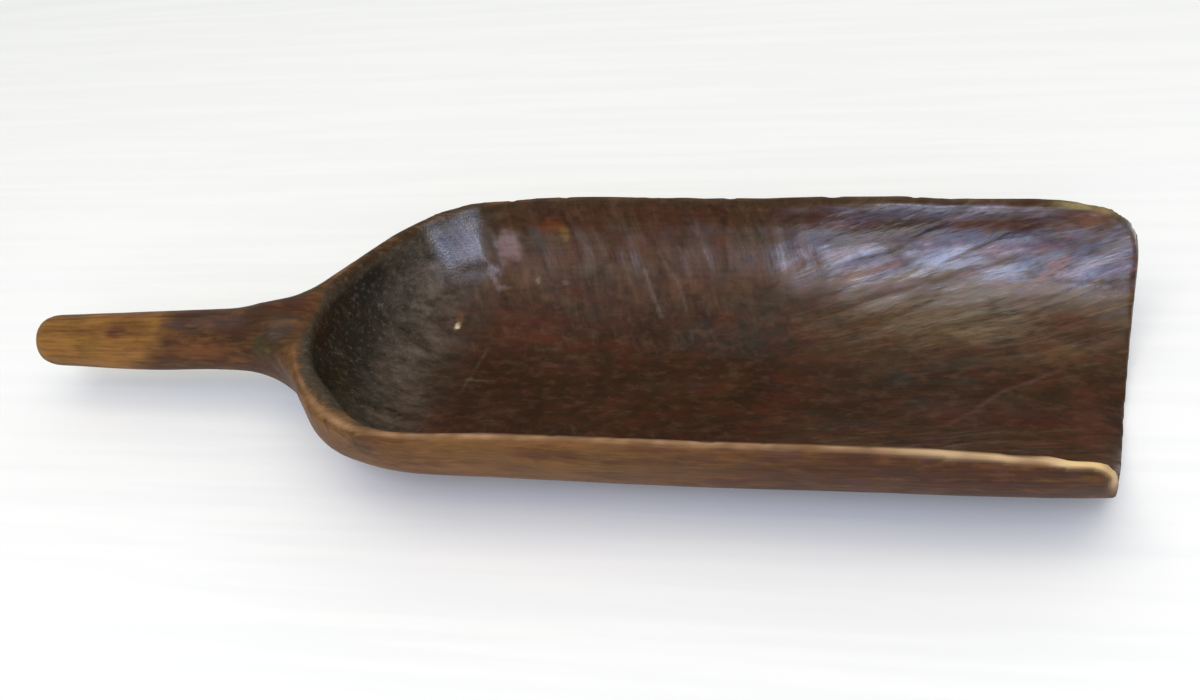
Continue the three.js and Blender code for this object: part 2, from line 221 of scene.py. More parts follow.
scoopForm = {
    "grid": 1.42,  # side of a face of the fine surface
    "handleLength": 138,  # from the tip to the back of the hollow
    "hollowEnd": 62,  # length of the hollow's rounded end
    "hollowLength": 329,
    "nearReach": 317,  # how far the rim runs on the near side, and on the far side
    "farReach": 338,
    "mouthSkew": 0.133,  # how far the mouth runs on for each millimetre across
    "rimHeight": 54,
    "wallArc": 62,  # radius at which a wall is unrolled, and the same for the other parts
    "endArc": 55.8,
    "outerArc": 75,
    "handleArc": 13,
    "handleMiddle": 35,  # height of the middle of the handle
    "gridRounds": 1,  # rounds of easing, before anything else
    "facetRounds": 34,  # on the flats of the solid
    "rimRounds": 45,  # along the two straight rims
    "alongRim": 0.85,  # how straight along the scoop a link runs there
    "edgeRounds": 3,  # rounds of wear on the edges
    "farRimRounds": 14,  # the far rim is worn rounder
    "cornerRounds": 14,  # and so is the near corner
    "markRounds": 2,  # rounds of blurring on the marks of wear
    "endRounding": 3.0,  # radius worn on the outer edge of the near wall's end
    "endWear": 1.4,  # how far that end is worn back
    "endPiece": (295, 309),  # where along the near wall it is measured
    "endPieceOut": 40,  # and how far out its points and those of the edge lie at least
    "endEdgeOut": 50,
    "cuts": {  # width and length of a cut, depth, lean in degrees, dirt between the cuts, seed
        "gouge": (16, 34, 0.6, 18, 0.5, 3),
        "smallGouge": (6, 24, 0.15, 22, 0, 4),
        "scraper": (9.5, 44, 0.5, 107, 0.48, 5),
        "smallScraper": (5, 30, 0.16, 113, 0, 6),
        "floorCut": (14, 60, 0.15, 0, 0, 7),
        "outerCut": (13, 95, 0.26, 0, 0, 8),
        "handleCut": (7.5, 60, 0.2, 0, 0, 9),
    },
    "dish": {  # how high a cut's rim rises, how deep its middle lies and how much it tilts
        "rim": 1.2, "middle": 0.35, "tiltAcross": 1.1, "tiltAlong": 0.8},
    "nick": 0.5,  # depth of the dents along the rim
    "chip": {"at": (47.3, 34, 16), "size": 3.2, "middle": 0.4, "depth": 0.7},
    "unevenFarRim": (  # place along, and how far the far rim stands above the drawn line
        (-2, 1.5), (16, 0.9), (32, 0.3), (49, 0.7), (66, 0.3), (83, 1.3), (101, 1.6), (118, 1.4),
        (136, 0.9), (150, 0.8), (158, 0.3), (170, 0.6), (184, 0.3), (207, 0.8), (225, 0.9),
        (241, 1.0), (258, -0.1), (274, 0.2), (291, 0.2), (306, 0.4), (314, -0.3), (322, -1.6),
        (330, -0.9), (337, 0.8),
    ),
    "bevelWidth": (  # where round the closed end, in radians, and how wide
        (-1.57, 0), (-1.25, 4), (-0.9, 5.5), (-0.5, 4), (0, 2.5), (0.6, 2), (1.57, 2)),
    "ridge": {  # the worn ridge round the end: its middle, and how high and long it is sought
        "outsideBevel": 2, "top": 1.2, "from": -8, "to": 70},
    "swellings": {  # middle, half lengths, height
        "gripBelly": ((-86, -5, 25), (38, 16, 10), 1.0),
        "neckTop": ((-28, 8, 50), (16, 12, 7), 0.9),
        "heel": ((16, -62, 32), (20, 16, 20), 1.0),
        "nearBelly": ((172, -62, 19), (92, 22, 18), 0.9),
        "tipCorners": ((-136, 0, 34), (3, 16, 16), 0.5),
        "nearCorner": ((304, -74, 48.5), (13, 6, 4), -0.7),
    },
    "innerSwellings": {"innerHeel": ((25, -48, 46), (27, 21, 11), 2.2)},
    "flats": {  # middle, half lengths along and up, lean of its sides, the way it faces
        "brightFacet": ((46, 61, 41), (12, 13), 0.3, (0.261, -0.789, 0.556)),
    },
    "brownLine": {"from": -70, "at": 47, "slant": 0.85},  # where the handle turns brown, at a height
    "closedEndSlant": 0.35,  # how far the closed end's dirt reaches for each millimetre up
    "lines": {  # step, beginning and end of each line measured on the surface
        "rim": (3, 1),  # this one and the next end with the wall
        "side": (4, 0),
        "rimHeight": (4, 2, 299),
        "endOutside": (2, 12, 44),
        "hollowEdge": (0.08, -1.56, 1.56),  # in radians round the closed end
    },
    "lumps": {  # lumps of noise: their size along, across and up, seed, strength
        "wave": ((60, 48, 48), 1, 0.27),  # slow waves that hand work leaves
        "unevenness": ((18, 11, 11), 2, 0.16),
        "floorEdge": ((26, 12, 12), 3, 0.12),
        "mouthEdge": ((30, 30, 30), 4, 14),
        "closedEndEdge": ((16, 16, 16), 5, 6),
        "cutWobble": ((34, 26, 26), 6, 2.5),
        "endGrain": ((4.5, 4.5, 4.5), 7, 0.22),
        "nicks": ((7, 5, 5), 8, 1),
        "brownLine": ((8, 8, 8), 9, 4),
        "wear": ((13, 9, 9), 10, 0.6),
        "patchEdge": ((9, 4, 4), 11, 0.35),
        "finePatchEdge": ((4.5, 2.5, 2.5), 12, 0.35),
        "gloss": ((26, 14, 14), 13, 0.5),
        "facetGloss": ((5, 9, 9), 14, 0.4),
        "dullEdge": ((14, 5, 5), 15, 0.4),
        "fineWearAndGlints": ((5, 4, 4), 16, 0.4),
    },
    "stretches": {  # where each part, wear or colour begins, and where it is complete
        # along the scoop
        "grip": (-52, -18), "unevenRim": (-16, 0), "neck": (-14, 14), "rim": (-4, 2),
        "trough": (-3, 2), "givenBack": (0, 30), "haze": (9, 36), "closedEnd": (30, 80),
        "roundRidge": (42, 66), "bevel": (50, 70), "darkFarRim": (60, 90),
        "straightRim": (66, 86), "paleRim": (110, 190), "darkOutside": (110, 230),
        "mouthWork": (178, 232),  # where gouge cuts give way to scraper cuts
        "nearSlope": (235, 262),  # where the near rim slopes down and is paler
        "dullMouth": (286, 312), "paleCorner": (290, 302), "nicksEnd": (293, 305),
        "nearCorner": (294, 302), "goldBegins": (298, 304), "slopeEnds": (298, 308),
        "farCornerBegins": (300, 312), "steepRim": (308, 317), "goldEnds": (312, 320),
        "farCornerEnds": (333, 338),
        "endStain": (-8, 6),  # from the line where the handle turns brown
        "brownStain": (-7, 8),
        # back from the mouth, or from the near wall's end
        "straightRimEnds": (10, 22), "corners": (28, 44), "endWear": (2, 14),
        "endFace": (1.6, 3.4),
        # across, to the far side or the near side
        "farSide": (10, 40), "farRimSide": (20, 40), "farRimAcross": (0, 22),
        "hazeAcross": (-60, -30), "nearWall": (50, 66), "nearCornerAcross": (60, 66),
        "endWearAcross": (34, 60), "endFaceAcross": (40, 60), "offMiddle": (1, 9),
        # in from the outer side of a wall, or out from the hollow
        "farInner": (1.8, 3.6), "nearInner": (2.5, 4), "crestAcross": (0.8, 3.0),
        "ridgeHalf": (0.7, 2.1), "bevelEdge": (-0.8, 0.8), "bevelWidth": (0, 2),
        # up from the table
        "restStrip": (0.3, 5),  # the strip that it rests on stays flat
        "nearCornerUp": (30, 38), "endFaceUp": (29, 45), "nicksUp": (40, 46),
        # down from the rim
        "edgeKept": (3.5, 6),  # eased less there, and as near to the mouth
        "farInnerDepth": (6, 10), "slopeDepth": (2, 5), "givenBackDepth": (2, 20),
        "unevenDepth": (3, 18), "darkFarRimDepth": (3, 7), "bevelDepth": (4, 6),
        "paintedSheenDepth": (1, 3), "crest": (0.2, 1.5), "crestByMouth": (0.2, 1.8),
        "cornerDepth": (2, 4.2), "cornerWhereSteep": (4, 8.2), "glossDepth": (3, 9),
        "glossByMouth": (0.8, 2.2), "farRimDepth": (1.5, 3.5), "farRimByMouth": (0.5, 1.5),
        "roughDepth": (3, 6), "roughByMouth": (1, 2.5),
        # down the wall of the trough, in radians
        "floor": (0.8, 1.35), "wallLow": (0.3, 0.7), "paintedSheenDown": (0.4, 0.65),
        "gougeDown": (0.5, 0.85), "glossDown": (0.3, 0.55), "glossDownByMouth": (0.5, 0.8),
        # how squarely the surface faces the hollow, or the near side
        "inner": (0, 0.3), "inside": (0.2, 0.55), "crestFacing": (0.1, 0.35),
        "endFacing": (0.7, 0.9), "facingNear": (0.35, 0.9),
        # from the middle of a patch, in its half lengths or widths
        "swelling": (0.2, 1.2), "flat": (0.6, 1.3), "dull": (0.5, 1.2), "patch": (0.45, 1.25),
        "scratch": (0.3, 1.1),
        # how far a point stands out from its neighbours, and where noise makes a nick
        "sharpEdge": (0.03, 0.12), "nickNoise": (0.25, 0.65),
    },
    "shares": {  # strength of each effect, from 0 to 1
        "slopeWear": 0.6, "slopeSpared": 0.2,  # easing of the near rim's slope, less at its inner side
        "overFarRim": 0.75,  # the top of the far rim is as dark as the trough
        "endUncut": 0.45, "edgeUncut": 0.75, "facetUncut": 0.7,  # how much shallower cuts are there
        "worn": 0.54, "wornRight": 0.21, "wornByMouth": 0.2, "lessAtEnd": 0.15,  # how pale the rim is, by wear and a painted highlight
        "farUnworn": 0.85, "cornerSteep": 0.2, "endFace": 0.7, "goldCorner": 0.55, "farCorner": 0.8,
        "redAtEnd": 0.8, "lowByMouth": 0.85, "floorByMouth": 0.85,  # how much less of a colour lies there
        "rightDarker": 0.65, "brownDarker": 0.6,
    },
    "gloss": {  # how the trough is rubbed
        "gouged": (0.02, 0.3),  # where gouged: at least, and more by the tone of a cut
        "scraped": (0.68, 0.72),
        "downWall": 0.8, "closedEnd": 0.35,  # what is taken off there
        "mouthFar": 0.32, "mouthNear": 0.48,  # by the mouth's edge, and more on the near side
        "dull": 0.25,  # what is left where the rubbing missed
        "middle": 0.85, "facet": 1.3,  # before noise breaks it up
    },
    "roughness": {  # of the outside, and what each part adds
        "outside": 0.52, "inside": -0.05, "byMouth": -0.15, "floor": 0.3, "closedEnd": 0.2,
        "farRim": 0.4},
}


def fadeIn(value, name, otherName=None, share=0):
    # 0 before the named stretch, 1 past it. The stretch moves over to the other one by a share.
    low, high = scoopForm["stretches"][name]
    otherLow, otherHigh = scoopForm["stretches"][otherName or name]
    return ramp(value, low + (otherLow - low) * share, high + (otherHigh - high) * share)


def fadeOut(*valueAndStretch):
    return 1 - fadeIn(*valueAndStretch)


def lumpsAt(points, name):
    size, seed, strength = scoopForm["lumps"][name]
    return strength * noiseAt(points, size, seed)


def placesOn(points, along):
    return np.stack([along, points[:, 1], points[:, 2]], 1)


def roundEnd(along, y, form):  # how far out a point lies, and its angle round the closed end
    back = np.maximum(form["hollowEnd"] - along, 0)
    return np.hypot(y, back), np.arctan2(y, np.maximum(back, tiny))


def unroll(along, y, z, form):  # where each point lies round the rim, and how far down the wall
    outward, turn = roundEnd(along, y, form)
    drop = np.arctan2(form["rimHeight"] - z, outward)
    pastEnd = along - form["hollowEnd"]
    straight = np.sign(y) * (np.pi / 2 * form["endArc"] + pastEnd)
    return np.where(pastEnd < 0, turn * form["endArc"], straight), drop * form["wallArc"], drop


def rimLine(along, y, z, form):  # the height of the rim beside each point
    lines = []
    for side, reach in ((-1, form["nearReach"]), (1, form["farReach"])):
        wall = (y * side > 0) & (along > 0)
        rim = highest(along[wall], z[wall], *form["lines"]["rim"], reach)
        lines.append(np.interp(along, *rim))
    return np.where(y < 0, *lines)


def sideLine(along, y, side, form):  # how far out the outer side of the near or far wall lies
    line = highest(along, y * side, *form["lines"]["side"], form["hollowLength"])
    return side * np.interp(along, *line)


def wearEdges(points, links, hollowBack, form):  # eases the solid's flats, and keeps its rim and mouth
    along = points[:, 0] - hollowBack
    y, z = points[:, 1], points[:, 2]
    belowRim = rimLine(along, y, z, form) - z
    beforeMouth = form["hollowLength"] + form["mouthSkew"] * y - along
    atRim = fadeOut(belowRim, "edgeKept") * fadeIn(along, "rim")
    kept = np.maximum(atRim, fadeOut(beforeMouth, "edgeKept"))
    points = easeFlats(points, links, form["facetRounds"], 1 - kept)
    straight = atRim * fadeIn(along, "straightRim") * fadeIn(beforeMouth, "straightRimEnds")
    lengthwise = linksAlong(points, links, form["alongRim"])
    points = relax(points, lengthwise, form["rimRounds"], straight)
    points = easeFlats(points, links, form["edgeRounds"], np.ones(len(points)))

    offCorners = fadeIn(beforeMouth, "corners")
    farRim = fadeIn(y, "farRimSide") * fadeOut(belowRim, "farInnerDepth") * offCorners
    farRim *= fadeIn(sideLine(along, y, 1, form) - y, "farInner")  # only its inner edge
    slope = fadeIn(-y, "nearWall") * fadeOut(belowRim, "slopeDepth")
    slope *= fadeIn(along, "nearSlope") * fadeOut(along, "slopeEnds")
    spared = fadeIn(y - sideLine(along, y, -1, form), "nearInner")
    slope *= form["shares"]["slopeWear"] * (1 - form["shares"]["slopeSpared"] * spared)
    worn = relax(points, links, form["farRimRounds"], np.maximum(farRim, slope))
    for side in (-1, 1):  # what the wear took off the height is given back
        part = (y * side > 0) & (along > 0)
        before = highest(along[part], z[part], *form["lines"]["rimHeight"])
        after = highest(along[part], worn[part, 2], *form["lines"]["rimHeight"])
        lift = np.interp(along, before[0], before[1] - after[1]) * offCorners
        worn[:, 2] += lift * part * fadeIn(along, "givenBack") * fadeOut(belowRim, "givenBackDepth")

    uneven = np.interp(along, *zip(*form["unevenFarRim"])) * fadeIn(along, "unevenRim")
    worn[:, 2] += uneven * fadeIn(y, "farSide") * fadeOut(belowRim, "unevenDepth")
    worn = roundNearEnd(worn, along, beforeMouth, form)
    corner = fadeIn(along, "nearCorner") * fadeIn(-y, "nearCornerAcross") * fadeIn(z, "nearCornerUp")
    return relax(worn, links, form["cornerRounds"], corner)


def roundNearEnd(points, along, beforeMouth, form):  # the upright outer edge of the near wall's end
    y, z = points[:, 1], points[:, 2]
    first, last = form["endPiece"]
    wall = (-y > form["endPieceOut"]) & (along > first) & (along < last)
    outside = highest(z[wall], -y[wall], *form["lines"]["endOutside"])
    fromOutside = y + np.interp(z, *outside)
    fullWear = form["endWear"] * fadeIn(-y, "endWearAcross")
    wear = fullWear * fadeOut(beforeMouth, "endWear")
    fromEnd = beforeMouth + wear - fullWear
    radius = form["endRounding"]
    apart = np.hypot(radius - fromOutside, radius - fromEnd)
    inEdge = (-y > form["endEdgeOut"]) & (fromOutside < radius) & (fromEnd < radius)
    pull = np.where(inEdge & (apart > radius), 1 - radius / np.maximum(apart, radius), 0)
    points[:, 1] += pull * (radius - fromOutside)
    points[:, 0] -= wear + pull * (radius - fromEnd)
    return points


def facingHollow(points, at, form):  # 1 where the surface squarely faces the middle of the hollow
    endwards = np.maximum(form["hollowEnd"] - at.along, 0)
    toMiddle = np.stack([endwards, -points[:, 1], form["rimHeight"] - points[:, 2]], 1)
    toMiddle /= np.linalg.norm(toMiddle, axis=1)[:, None]
    return (at.normals * toMiddle).sum(1)


def swell(points, at, form):  # places fuller than the solid, and the flat facet on the far wall
    places = placesOn(points, at.along)
    inner = fadeIn(at.facing, "inner")
    for swellings, share in ((form["swellings"], 1), (form["innerSwellings"], inner)):
        for middle, halves, height in swellings.values():
            rise = share * height * fadeOut(howFar(places, middle, halves), "swelling")
            points = points + at.normals * rise[:, None]
    facets = np.zeros(len(points))
    for middle, (halfAlong, halfUp), lean, way in form["flats"].values():
        above, beyond = points[:, 2] - middle[2], at.along - middle[0]
        reach = np.maximum(np.abs(beyond + lean * above) / halfAlong, np.abs(above) / halfUp)
        facet = inner * fadeOut(reach, "flat") * (points[:, 1] > 0)
        proud = (places - np.array(middle)) @ np.array(way)
        points = points - np.array(way) * (facet * proud)[:, None]
        facets = np.maximum(facets, facet)
    return points, facets


def findParts(points, links, at, form):  # how much each point belongs to each part, from 0 to 1
    at.y, at.z = points[:, 1], points[:, 2]
    at.belowRim = at.rimTop - at.z
    at.farSide = fadeIn(at.y, "farSide")
    at.trough = fadeIn(at.along, "trough")
    overRim = at.farSide * fadeIn(at.along, "darkFarRim") * fadeOut(at.belowRim, "darkFarRimDepth")
    at.inside = fadeIn(at.facing + form["shares"]["overFarRim"] * overRim, "inside") * at.trough
    at.outside = 1 - at.inside
    bulge = ((points - neighbourMean(points, links)) * at.normals).sum(1)
    at.edge = blur(fadeIn(bulge, "sharpEdge"), links, form["markRounds"])
    at.around, at.downWall, at.drop = unroll(at.along, at.y, at.z, form)
    at.floor = at.inside * fadeIn(at.drop + lumpsAt(points, "floorEdge"), "floor")
    at.mouth = fadeIn(at.along + lumpsAt(points, "mouthEdge"), "mouthWork")
    slanted = at.along + form["closedEndSlant"] * (form["rimHeight"] - at.z)
    at.closedEnd = at.inside * fadeOut(slanted + lumpsAt(points, "closedEndEdge"), "closedEnd")
    at.grip = fadeOut(at.along, "grip")
    at.byMouth = fadeIn(at.along, "nearSlope") * (1 - at.farSide)


def cutWood(points, at, form):  # the relief of all the tool cuts, and what each leaves behind
    at.relief, at.ridges, at.tone = np.zeros((3, len(points)))
    at.frames = {}
    wobble = (1 + at.mouth) * lumpsAt(points, "cutWobble")
    gouged = at.inside * (1 - at.floor) * (1 - at.mouth)
    gouged *= 1 - form["shares"]["endUncut"] * at.closedEnd
    scraped = at.inside * (1 - at.floor) * at.mouth
    outerTurn = np.arctan2(at.y, form["rimHeight"] - at.z) * form["outerArc"]
    handleTurn = np.arctan2(at.y, at.z - form["handleMiddle"]) * form["handleArc"]
    patterns = [
        ("gouge", at.around, at.downWall, gouged),
        ("smallGouge", at.around, at.downWall, gouged),
        ("scraper", at.around, at.downWall, scraped),
        ("smallScraper", at.around, at.downWall, scraped),
        ("floorCut", at.y, at.along, at.floor),
        ("outerCut", outerTurn, at.along, at.outside * (1 - at.grip)),
        ("handleCut", handleTurn, at.along, at.grip),
    ]
    dish = form["dish"]
    for name, across, down, share in patterns:
        width, length, depth, lean, dirt, seed = form["cuts"][name]
        across, down = leaning(across + wobble, down, lean)
        at.frames[name] = (across, down)
        distance, ridge, pick, du, dv = cuts(across, down, width, length, seed)
        otherPick = np.modf(pick * 7)[0]  # a second random number for the same cut
        tilt = (pick - 0.5) * du * dish["tiltAcross"] + (otherPick - 0.5) * dv * dish["tiltAlong"]
        at.relief += share * depth * (np.minimum(distance, dish["rim"]) - dish["middle"] + tilt)
        at.ridges = np.maximum(at.ridges, share * ridge * dirt)
        at.tone += share * pick


def carve(points, hollowBack, at, form):
    cutWood(points, at, form)
    shares, chip = form["shares"], form["chip"]
    relief = at.relief * (1 - shares["edgeUncut"] * at.edge) * (1 - shares["facetUncut"] * at.facets)
    relief += (1 + at.inside) * lumpsAt(points, "wave") + lumpsAt(points, "unevenness")
    relief += at.closedEnd * lumpsAt(points, "endGrain")
    nicks = fadeIn(lumpsAt(points, "nicks"), "nickNoise") * at.edge
    relief -= form["nick"] * nicks * fadeIn(at.z, "nicksUp") * fadeOut(at.along, "nicksEnd")
    chipPlace = np.array(chip["at"]) + (hollowBack, 0, 0)
    fromChip = np.linalg.norm(points - chipPlace, axis=1) / chip["size"]
    relief -= chip["depth"] * (1 - ramp(fromChip, chip["middle"], 1))
    return points + at.normals * (relief * fadeIn(at.z, "restStrip"))[:, None]


def findWear(points, links, at, form):  # edges that use has worn back to pale wood, with a painted highlight along the crest and painted glints
    shares, ridge = form["shares"], form["ridge"]
    outward, turn = roundEnd(at.along, at.y, form)
    top = (at.belowRim < ridge["top"]) & (at.along > ridge["from"]) & (at.along < ridge["to"])
    hollowEdge = highest(turn[top], -outward[top], *form["lines"]["hollowEdge"])
    fromHollow = outward + np.interp(turn, *hollowEdge)
    bevelWidth = np.interp(turn, *zip(*form["bevelWidth"]))
    fromBevel = fromHollow - bevelWidth
    at.bevel = fadeOut(fromBevel, "bevelEdge") * fadeOut(at.belowRim, "bevelDepth") * at.trough
    at.bevel *= fadeOut(at.along, "bevel") * fadeIn(bevelWidth, "bevelWidth")

    # Round the closed end only the ridge outside the bevel is pale.
    atEnd = fadeOut(at.along, "roundRidge")
    offRidge = np.abs(fromBevel - ridge["outsideBevel"])
    straight = (1 - atEnd) * fadeIn(at.y - sideLine(at.along, at.y, -1, form), "crestAcross")
    crest = straight + atEnd * fadeOut(offRidge, "ridgeHalf")
    crest *= fadeOut(at.belowRim, "crest", "crestByMouth", at.byMouth)
    crest *= fadeOut(at.facing, "crestFacing")

    steep = fadeIn(at.along, "steepRim")
    corner = fadeOut(at.belowRim, "cornerDepth", "cornerWhereSteep", steep)
    corner *= fadeIn(at.along, "paleCorner") * fadeOut(-at.normals[:, 1], "facingNear")
    corner *= 1 - shares["cornerSteep"] * steep
    fromEnd = form["hollowLength"] + form["mouthSkew"] * at.y - at.along
    fromEnd -= form["endWear"] * fadeIn(-at.y, "endWearAcross")
    endFace = shares["endFace"] * fadeOut(fromEnd, "endFace") * fadeIn(at.z, "endFaceUp")
    nearEnd = np.maximum(corner, endFace) * fadeIn(-at.y, "endFaceAcross")
    crest = np.maximum(crest, nearEnd * fadeOut(at.facing, "endFacing"))

    # how pale the crest is: real wear, with a painted highlight on top and painted glints from the fine
    # lumps
    patchy = shares["worn"] + shares["wornRight"] * fadeIn(at.along, "paleRim")
    patchy += shares["wornByMouth"] * at.byMouth - shares["lessAtEnd"] * atEnd
    patchy += lumpsAt(points, "wear") + lumpsAt(points, "fineWearAndGlints")
    crest *= at.trough * (1 - shares["farUnworn"] * at.farSide)
    worn = np.clip(crest * patchy, 0, 1)
    at.worn = worn + at.byMouth * (blur(worn, links, form["markRounds"]) - worn)
    gold = corner * fadeIn(at.along, "goldBegins") * fadeOut(at.along, "goldEnds")
    at.goldCorner = shares["goldCorner"] * gold * at.worn


def findGloss(points, at, form):  # wood that hands and flour have rubbed to a half gloss
    much = form["gloss"]
    down = fadeIn(at.drop, "glossDown", "glossDownByMouth", at.mouth)
    gloss = at.inside * (1 - much["downWall"] * down) * (1 - much["closedEnd"] * at.closedEnd)
    gloss *= fadeIn(at.belowRim, "glossDepth", "glossByMouth", at.mouth)
    gouged, scraped = (least + more * at.tone for least, more in (much["gouged"], much["scraped"]))
    gloss *= (gouged * (1 - at.mouth) + scraped * at.mouth) * (1 - at.ridges)
    places = np.stack([at.along, at.y, at.z], 1)  # before the cuts were carved
    ragged = lumpsAt(points, "dullEdge")
    for name in scoopStainsAndSheen["dull"]:
        middle, halves, _, _ = scoopStainsAndSheen["patches"][name]
        rubbed = fadeIn(howFar(places, middle, halves) + ragged, "dull")
        gloss *= much["dull"] + (1 - much["dull"]) * rubbed
    offMouth = much["mouthFar"] + much["mouthNear"] * (1 - at.farSide)
    gloss *= 1 - offMouth * fadeIn(at.along, "dullMouth")
    gloss *= much["middle"] + lumpsAt(points, "gloss")
    onFacet = at.facets * (much["facet"] + lumpsAt(points, "facetGloss"))
    return np.clip(np.maximum(gloss, onFacet), 0, 1)


def findRoughness(at, form):
    rough = form["roughness"]
    farRim = at.inside * at.farSide * fadeOut(at.belowRim, "roughDepth", "roughByMouth", at.mouth)
    roughness = rough["outside"] + at.inside * (rough["inside"] + rough["byMouth"] * at.mouth)
    roughness += rough["floor"] * at.floor + rough["closedEnd"] * at.closedEnd
    return np.clip(roughness + rough["farRim"] * farRim, 0, 1)


def markParts(points, at, form):  # where each colour and finish lies, from 0 to 1
    shares, line = form["shares"], form["brownLine"]
    pastLine = at.along - line["from"] + line["slant"] * (line["at"] - at.z)
    pastLine += lumpsAt(points, "brownLine")
    brown = fadeOut(at.along, "neck") * fadeIn(pastLine, "brownStain")
    right = fadeIn(at.along, "darkOutside")
    notRight = 1 - shares["rightDarker"] * right
    farRim = fadeIn(at.y, "farRimAcross") * at.trough
    farRim *= fadeOut(at.belowRim, "farRimDepth", "farRimByMouth", at.mouth)
    farCorner = farRim * fadeIn(at.along, "farCornerBegins") * fadeOut(at.along, "farCornerEnds")
    # painted sheen: where the window's bluish reflection on the far wall by the mouth is laid into the
    # colour
    bloom = at.mouth * at.farSide * at.inside * fadeIn(at.belowRim, "paintedSheenDepth")
    gouged, scraped = at.inside * (1 - at.mouth), at.inside * at.mouth
    onWall = 1 - shares["floorByMouth"] * at.floor
    return {
        "inside": at.inside,
        "onFloor": at.floor,
        # painted shade: the trough wall darker lower down, less so by the mouth
        "wallLow": at.inside * fadeIn(at.drop, "wallLow") * (1 - shares["lowByMouth"] * at.mouth),
        "closedEnd": at.closedEnd,
        "notEnd": at.inside * (1 - at.closedEnd),
        "outOfEnd": 1 - shares["redAtEnd"] * at.closedEnd,
        "endHaze": at.closedEnd * fadeIn(at.along, "haze") * fadeIn(at.y, "hazeAcross"),
        "gougeWork": gouged * (1 - at.floor),
        "gougeHigh": gouged * (1 - at.closedEnd) * fadeOut(at.drop, "gougeDown"),
        "mouthWork": scraped,
        "scraperWork": scraped * onWall * fadeIn(np.abs(at.y), "offMiddle"),
        "bloom": bloom * fadeOut(at.drop, "paintedSheenDown"),
        "ridges": at.ridges,
        "bevel": at.bevel,
        "worn": at.worn,
        "paleEdge": at.worn * at.byMouth,
        "goldCorner": at.goldCorner,
        "farRimTop": farRim,
        "farCorner": shares["farCorner"] * farCorner,
        "outer": at.outside,
        "outerRight": at.outside * right,
        "outerLeft": at.outside * notRight * (1 - shares["brownDarker"] * brown),
        "handleBrown": brown,
        "handleEnd": fadeOut(pastLine, "endStain"),
        "polish": findGloss(points, at, form),
        "roughness": findRoughness(at, form),
    }


# Stains and wear that lie in one place, with some painted sheen and highlights among them

